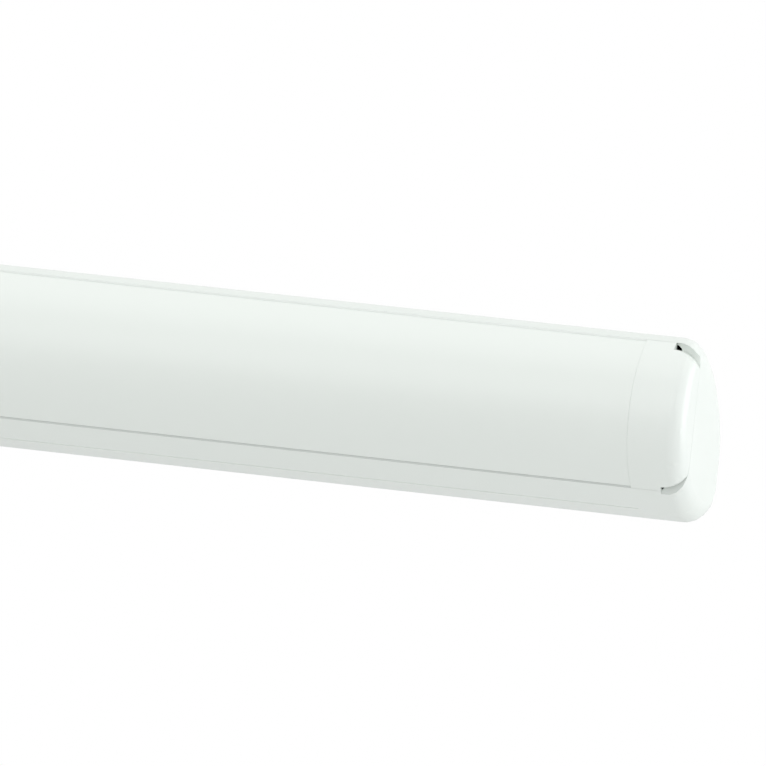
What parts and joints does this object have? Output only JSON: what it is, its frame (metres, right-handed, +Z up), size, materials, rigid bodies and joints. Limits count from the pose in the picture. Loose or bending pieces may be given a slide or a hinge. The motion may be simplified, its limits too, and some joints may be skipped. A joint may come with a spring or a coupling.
{
  "type": "slide-out awning",
  "caption": "Closed cassette awning with a bulged lead bar, moulded end caps, spring roller and wall brackets.",
  "frame": {"origin": "middle of the four wall holes of the middle wall bracket, on the wall plane", "axes": "+X towards the right end as seen from the front, +Y into the wall, +Z up"},
  "size_m": [1.6, 0.088, 0.13],
  "materials": {
    "white_profile": "gloss",
    "white_cap": "gloss",
    "plate_alloy": "cast",
    "bracket_alloy": "satin",
    "screw_steel": "zinc plated",
    "seal_rubber": "matte",
    "plug_plastic": "moulded",
    "anchor_alloy": "cast",
    "shaft_steel": "turned",
    "spring_steel": "oiled",
    "tube_alloy": "mill",
    "cloth": "coated cloth",
    "edge_rod": "matte"
  },
  "bodies": {
    "case": {"case_housing": "white_profile", "right_end_cap": "white_cap", "left_end_cap": "white_cap", "right_side_plate": "plate_alloy", "left_side_plate": "plate_alloy", "right_plate_screws": "screw_steel", "left_plate_screws": "screw_steel", "right_cap_screws": "screw_steel", "left_cap_screws": "screw_steel", "top_seal": "seal_rubber", "bottom_seal": "seal_rubber", "left_wall_bracket": "bracket_alloy", "middle_wall_bracket": "bracket_alloy", "right_wall_bracket": "bracket_alloy", "bracket_lock_screws": "screw_steel", "idler_bush": "plug_plastic", "spring_shaft": "shaft_steel", "shaft_split_pin": "screw_steel", "spring_anchor": "anchor_alloy", "torsion_spring": "spring_steel", "fabric_panel": "cloth"},
    "roller": {"roller_tube": "tube_alloy", "idler_plug": "plug_plastic", "idler_pin": "shaft_steel", "shaft_end_plug": "plug_plastic", "roller_keder": "edge_rod", "fabric_roll": "cloth"},
    "lead_bar": {"lead_bar": "white_profile", "right_lead_bar_cap": "white_cap", "left_lead_bar_cap": "white_cap", "right_lead_cap_screw": "screw_steel", "left_lead_cap_screw": "screw_steel", "lead_bar_keder": "edge_rod"}
  },
  "joints": [
    {"name": "lead_bar_slide", "type": "slide", "parent": "case", "child": "lead_bar", "axis": [0, -1, 0], "range_m": [0, 1.2], "stiffness_N_per_m": 40, "springref_m": -0.5, "deforming": ["fabric_panel"]},
    {"name": "roller_spin", "type": "hinge", "parent": "case", "child": "roller", "pos_m": [0, -0.04, 0.01403], "axis": [1, 0, 0], "range_deg": [0, 3120], "deforming": ["torsion_spring"]}
  ],
  "couplings": [
    {"joint": "roller_spin", "follows": "lead_bar_slide", "rad_per_m": 45.2}
  ]
}
